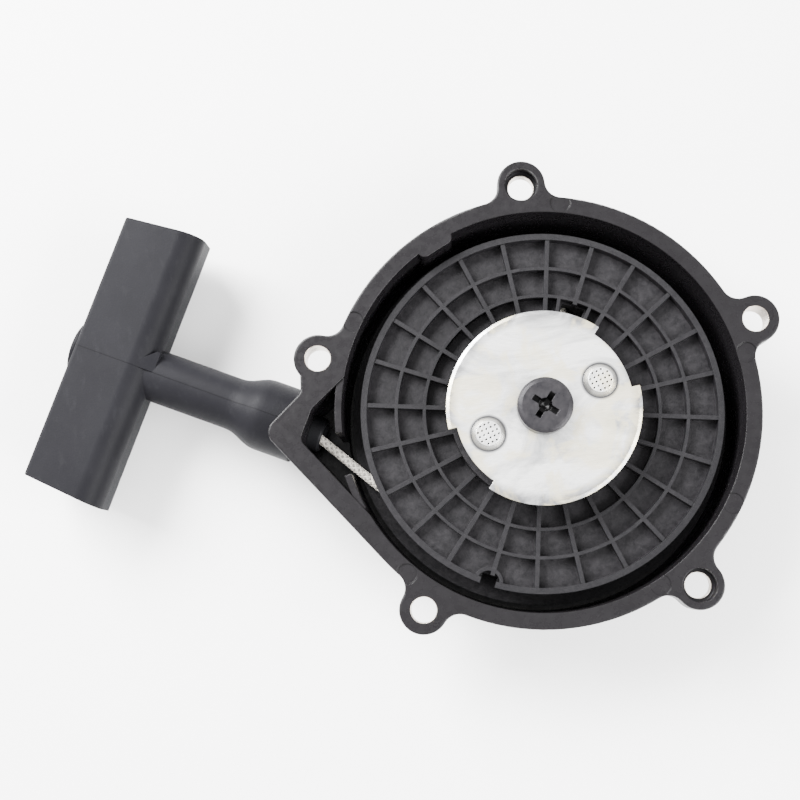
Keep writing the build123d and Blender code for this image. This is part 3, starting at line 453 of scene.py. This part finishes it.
def moulded_plastic(name, dark, pale, gloss, grain_depth, parting_line=False):
    """Fine spark-eroded grain with scuffs. The parting line runs along the pull axis."""
    material, tree, shader = new_material(name)
    where = place_mm(tree)
    grain = noise(tree, where, 3.2, 3.0, 0.6)
    cloud = noise(tree, where, 0.07, 4.0, 0.6)
    base = mixed(tree, cloud, dark, pale)
    scuffs = noise(tree, stretched(tree, where, 1.0, 0.35, 1.0), 0.45, 5.0, 0.7)
    scuffs = ramp(tree, scuffs, [(0.55, 0.0), (0.75, 1.0)])
    base = mixed(tree, maths(tree, "MULTIPLY", scuffs, 0.4), base, (0.015, 0.015, 0.0165))
    roughness = ramp(tree, grain, [(0.3, gloss - 0.07), (0.7, gloss + 0.07)])
    tree.links.new(roughness, shader.inputs["Roughness"])
    shader.inputs["Specular IOR Level"].default_value = 0.05
    height = grain
    if parting_line:
        sideways = tuple(SIDE_DIR)
        across = add(tree, "ShaderNodeVectorMath", {"operation": "DOT_PRODUCT"}, i0=where, i1=sideways)
        across = maths(tree, "ABSOLUTE", maths(tree, "ADD", across.outputs["Value"], PULL_OFFSET))
        line = all_of(tree, maths(tree, "LESS_THAN", across, 0.11),
                      maths(tree, "GREATER_THAN", height_of(tree, where), ROPE_Z))
        base = mixed(tree, maths(tree, "MULTIPLY", line, 0.7), base, (0.0015, 0.0014, 0.0018))
        height = maths(tree, "ADD", grain, maths(tree, "MULTIPLY", line, 0.5))
    tree.links.new(base, shader.inputs["Base Color"])
    bump(tree, shader, height, grain_depth, 0.6, soft_edges(tree, 0.3))
    return material


def yarn(name, dark, pale):
    """Matte twisted fibre of the rope's carriers."""
    material, tree, shader = new_material(name)
    where = place_mm(tree)
    fibres = noise(tree, where, 7.0, 4.0, 0.7)
    tree.links.new(mixed(tree, fibres, dark, pale), shader.inputs["Base Color"])
    shader.inputs["Roughness"].default_value = 0.8
    shader.inputs["Sheen Weight"].default_value = 0.2
    bump(tree, shader, fibres, 0.05, 0.6)
    return material


def braided_cord():
    """Off-white braid with grey marks, for the rope that is wound or drawn out."""
    material, tree, shader = new_material("braided_cord")
    where = place_mm(tree)
    fibres = noise(tree, where, 5.0, 4.0, 0.7)
    marks = ramp(tree, noise(tree, where, 0.9, 2.0, 0.6), [(0.60, 0.0), (0.66, 1.0)])
    base = mixed(tree, fibres, (0.42, 0.39, 0.34), (0.66, 0.63, 0.57))
    base = mixed(tree, maths(tree, "MULTIPLY", marks, 0.5), base, (0.24, 0.22, 0.21))
    tree.links.new(base, shader.inputs["Base Color"])
    shader.inputs["Roughness"].default_value = 0.85
    shader.inputs["Sheen Weight"].default_value = 0.25
    bump(tree, shader, fibres, 0.08, 0.6)
    return material


def dress(names, material):
    """Gives CAD nodes a material in every slot."""
    for name in names:
        mesh = NODES[name].data
        mesh.materials.clear()
        mesh.materials.append(material)


def make_materials():
    steel = spring_steel()
    cord = braided_cord()
    grip = moulded_plastic("charcoal_plastic", (0.0046, 0.0045, 0.0056), (0.0088, 0.0086, 0.0102),
                           0.46, 0.09, True)
    dress(["housing", "mounting_flange"], painted_casting())
    dress(["pulley", "pulley_hub"], glass_filled_nylon())
    dress(["friction_plate"], zinc_plate())
    plain_zinc = zinc_plate("plain_zinc", 0.15, False)
    dress(["thrust_washer", "spring_cover", "cover_screws", "handle_washer"], plain_zinc)
    dress(["centre_screw", "pawl_a", "pawl_b"], black_oxide())
    dress(["recoil_spring", "pawl_pins", "pawl_spring_a", "pawl_spring_b", "friction_spring"], steel)
    dress(["pulley_bush"], sintered_bronze())
    moulding = moulded_plastic("black_moulding", (0.006, 0.006, 0.007), (0.012, 0.012, 0.013), 0.35, 0.02)
    dress(["rope_eyelet"], moulding)
    dress(["handle_grip", "handle_cap"], grip)
    dress(["rope_coil", "rope_pulley_knot", "rope_lead", "rope_draw", "handle_knot"], cord)


# ------------------------------------------------ rope


def pull_point(along):
    """Point on the pull axis, in millimetres."""
    point = PULL_DIR * along - SIDE_DIR * PULL_OFFSET
    return Vector((point.x, point.y, ROPE_Z))


def lead_points(step=0.22):
    """Evenly spaced points from the eyelet's throat to just short of the outer wrap."""
    bend = pull_point(EYELET_INNER_FACE)
    flat = Vector((bend.x, bend.y, 0))
    touch_angle = math.atan2(bend.y, bend.x) + math.acos(WRAP_R / flat.length)
    touch = Vector((WRAP_R * math.cos(touch_angle), WRAP_R * math.sin(touch_angle), ROPE_Z))
    out = (touch - bend).normalized()
    spare = math.sqrt((WRAP_R + LEAD_END_GAP) ** 2 - WRAP_R ** 2)
    first, last = pull_point(ROPE_JOIN), touch - out * spare
    before, after = (bend - first).normalized(), out
    reach = ROPE_BEND_R * math.tan(before.angle(after) / 2)
    start, end = bend - before * reach, bend + after * reach
    points = [first]
    arc = [(1 - t) ** 2 * start + 2 * t * (1 - t) * bend + t ** 2 * end for t in (0, 0.25, 0.5, 0.75, 1)]
    for corner in arc + [last]:
        gap = corner - points[-1]
        count = max(1, round(gap.length / step))
        origin = points[-1].copy()
        points += [origin + gap * (index / count) for index in range(1, count + 1)]
    return points


def swept(bm, centres, frames, half_width, half_height, sides):
    """Closed tube with an elliptical section. frames are (wide direction, high direction)."""
    loops = []
    for centre, (wide, high) in zip(centres, frames):
        loop = []
        for index in range(sides):
            turn = 2 * math.pi * index / sides
            beside = centre + wide * (half_width * math.cos(turn))
            loop.append(bm.verts.new(beside + high * (half_height * math.sin(turn))))
        loops.append(loop)
    faces = [bm.faces.new(list(reversed(loops[0]))), bm.faces.new(loops[-1])]
    for first, second in zip(loops, loops[1:]):
        for index in range(sides):
            following = (index + 1) % sides
            faces.append(bm.faces.new((first[index], first[following], second[following], second[index])))
    for face in faces:
        face.smooth = True
    return faces


def make_braid(points):
    """Sixteen flat carriers woven over and under round a core."""
    carriers, pitch = 8, 8.6
    core_radius, radius, weave, half_thick, half_wide = 1.05, 1.14, 0.13, 0.17, 0.38
    slope = 2 * math.pi * radius / pitch
    bm = bmesh.new()
    lengths = [0.0]
    for first, second in zip(points, points[1:]):
        lengths.append(lengths[-1] + (second - first).length)
    up = Vector((0, 0, 1))
    tangents = []
    for index in range(len(points)):
        before, after = points[max(index - 1, 0)], points[min(index + 1, len(points) - 1)]
        tangents.append((after - before).normalized())
    axes = [(up.cross(tangent), up) for tangent in tangents]
    swept(bm, [point * MM for point in points], axes, core_radius * MM, core_radius * MM, 12)
    for way in (1, -1):
        for carrier in range(carriers):
            centres, frames = [], []
            for point, length, tangent, (side, top) in zip(points, lengths, tangents, axes):
                turn = 2 * math.pi * (carrier / carriers + way * length / pitch)
                outward = side * math.cos(turn) + top * math.sin(turn)
                round_way = top * math.cos(turn) - side * math.sin(turn)
                lift = way * weave * math.cos(2 * math.pi * carriers * length / pitch)
                centres.append((point + outward * (radius + lift)) * MM)
                run = (tangent + round_way * (way * slope)).normalized()
                frames.append((run.cross(outward), outward))
            grey = way > 0 and carrier % 2 == 1
            for face in swept(bm, centres, frames, half_wide * MM, half_thick * MM, 8):
                face.material_index = 1 if grey else 0
    mesh = bpy.data.meshes.new("rope_braid")
    bm.normal_update()
    bm.to_mesh(mesh)
    bm.free()
    mesh.materials.append(yarn("cream_yarn", (0.36, 0.33, 0.29), (0.64, 0.61, 0.55)))
    mesh.materials.append(yarn("grey_yarn", (0.13, 0.12, 0.11), (0.27, 0.255, 0.235)))
    braid = bpy.data.objects.new("rope_braid", mesh)
    bpy.context.scene.collection.objects.link(braid)
    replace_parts(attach(braid, "housing"), "rope_lead")


def make_draw_rope(material):
    """Rope from the eyelet into the grip."""
    rings = 420
    # The rings start 0.4 mm past the join.
    stations = [ROPE_JOIN]
    stations += [ROPE_JOIN + 0.4 + (NECK_THROAT - ROPE_JOIN) * index / rings for index in range(rings + 1)]
    stations += [DRAW_END]
    points = [pull_point(station) * MM for station in stations]
    bm = bmesh.new()
    swept(bm, points, [(SIDE_DIR, Vector((0, 0, 1)))] * len(points), ROPE_R * MM, ROPE_R * MM, 16)
    mesh = bpy.data.meshes.new("rope_drawn_out")
    bm.normal_update()
    bmesh.ops.recalc_face_normals(bm, faces=bm.faces)
    bm.to_mesh(mesh)
    bm.free()
    mesh.materials.append(material)
    rope = bpy.data.objects.new("rope_drawn_out", mesh)
    bpy.context.scene.collection.objects.link(rope)
    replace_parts(rope, "rope_draw")
    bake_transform(rope)


make_camera()
make_lights()
make_floor()
make_materials()
make_braid(lead_points())
make_draw_rope(bpy.data.materials["braided_cord"])
